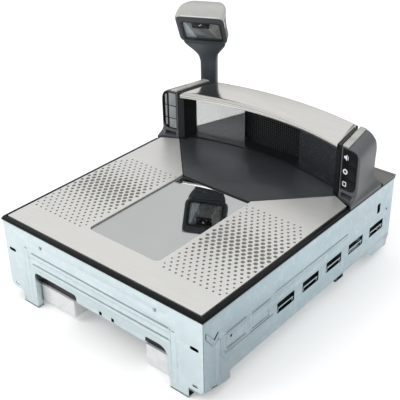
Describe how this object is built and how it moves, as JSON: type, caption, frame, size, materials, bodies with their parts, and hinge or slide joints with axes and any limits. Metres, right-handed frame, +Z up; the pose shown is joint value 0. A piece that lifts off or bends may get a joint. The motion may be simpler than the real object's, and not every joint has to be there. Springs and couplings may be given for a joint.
{
  "type": "in-counter barcode scanner and scale with top-down reader",
  "caption": "Counter-mounted bi-optic checkout scanner with a steel weighing platter, curved upright window, side keys and a small tower reader.",
  "frame": {"origin": "centre of the bounding box's base, on the surface the feet stand on", "axes": "+X to the operator's right, +Y away from the operator towards the tower, +Z up"},
  "size_m": [0.292, 0.356, 0.2714],
  "materials": {
    "zinc_sheet": "galvanised, satin",
    "stainless": "brushed",
    "white_metal": "satin white",
    "black_plastic": "matt",
    "charcoal_plastic": "fine texture",
    "grey_plastic": "fine texture",
    "silver_plastic": "satin silver",
    "gloss_black": "gloss",
    "deck_metal": "satin grey",
    "clear_glass": "polished",
    "smoked_glass": "polished",
    "mirror": "first surface",
    "rubber": "matt",
    "alloy": "machined",
    "cast": "cast",
    "circuit_board": "solder mask",
    "electronics": "moulded",
    "led_strip": "moulded",
    "screw_steel": "zinc plated"
  },
  "bodies": {
    "base": {"front_panel": "zinc_sheet", "side_panel_right": "zinc_sheet", "side_panel_left": "zinc_sheet", "rear_panel": "zinc_sheet", "floor_pan": "zinc_sheet", "front_beam": "black_plastic", "bracket_left": "white_metal", "bracket_right": "white_metal", "cable_clip": "black_plastic", "rim_front": "black_plastic", "rim_left": "black_plastic", "rim_right": "black_plastic", "platter_pads": "rubber", "scale_spider": "cast", "load_cell": "alloy", "load_cell_base": "zinc_sheet", "optics_tray": "black_plastic", "lower_mirrors": "mirror", "lower_imager": "black_plastic", "lower_camera": "electronics", "lower_leds": "led_strip", "main_board": "circuit_board", "board_parts": "electronics", "io_bracket": "zinc_sheet", "data_sockets": "electronics", "power_inlet": "electronics", "deck_frame": "black_plastic", "foot_cover": "charcoal_plastic", "bonnet_cover": "stainless", "bonnet_back": "black_plastic", "window_frame": "black_plastic", "upright_glass": "smoked_glass", "upper_mirror_left": "mirror", "upper_mirror_right": "mirror", "upper_grille": "black_plastic", "upper_imager": "black_plastic", "endcap_right": "grey_plastic", "endcap_left": "grey_plastic", "trim_right": "silver_plastic", "trim_left": "silver_plastic", "key_bezel": "gloss_black", "key_board": "circuit_board", "indicator_bezel": "gloss_black", "indicator_lenses": "charcoal_plastic", "rear_deck": "deck_metal", "tower_post": "charcoal_plastic", "tower_head": "charcoal_plastic", "tower_shell": "silver_plastic", "tower_bezel": "gloss_black", "tower_glass": "clear_glass", "tower_imager": "black_plastic", "tower_mirror": "mirror", "tower_cable": "electronics", "case_screws": "screw_steel"},
    "platter": {"platter": "stainless", "platter_gasket": "rubber", "platter_glass": "clear_glass"},
    "key_sound": {"key_sound": "gloss_black"},
    "key_zero": {"key_zero": "gloss_black"},
    "key_mode": {"key_mode": "gloss_black"}
  },
  "joints": [
    {"name": "platter_lift", "type": "slide", "parent": "base", "child": "platter", "axis": [0, 0, 1], "range_m": [0, 0.08]},
    {"name": "key_sound_press", "type": "slide", "parent": "base", "child": "key_sound", "axis": [0.1392, 0.9903, 0], "range_m": [0, 0.0008], "stiffness_N_per_m": 300, "springref_m": -0.001},
    {"name": "key_zero_press", "type": "slide", "parent": "base", "child": "key_zero", "axis": [0.1392, 0.9903, 0], "range_m": [0, 0.0008], "stiffness_N_per_m": 300, "springref_m": -0.001},
    {"name": "key_mode_press", "type": "slide", "parent": "base", "child": "key_mode", "axis": [0.1392, 0.9903, 0], "range_m": [0, 0.0008], "stiffness_N_per_m": 300, "springref_m": -0.001}
  ]
}
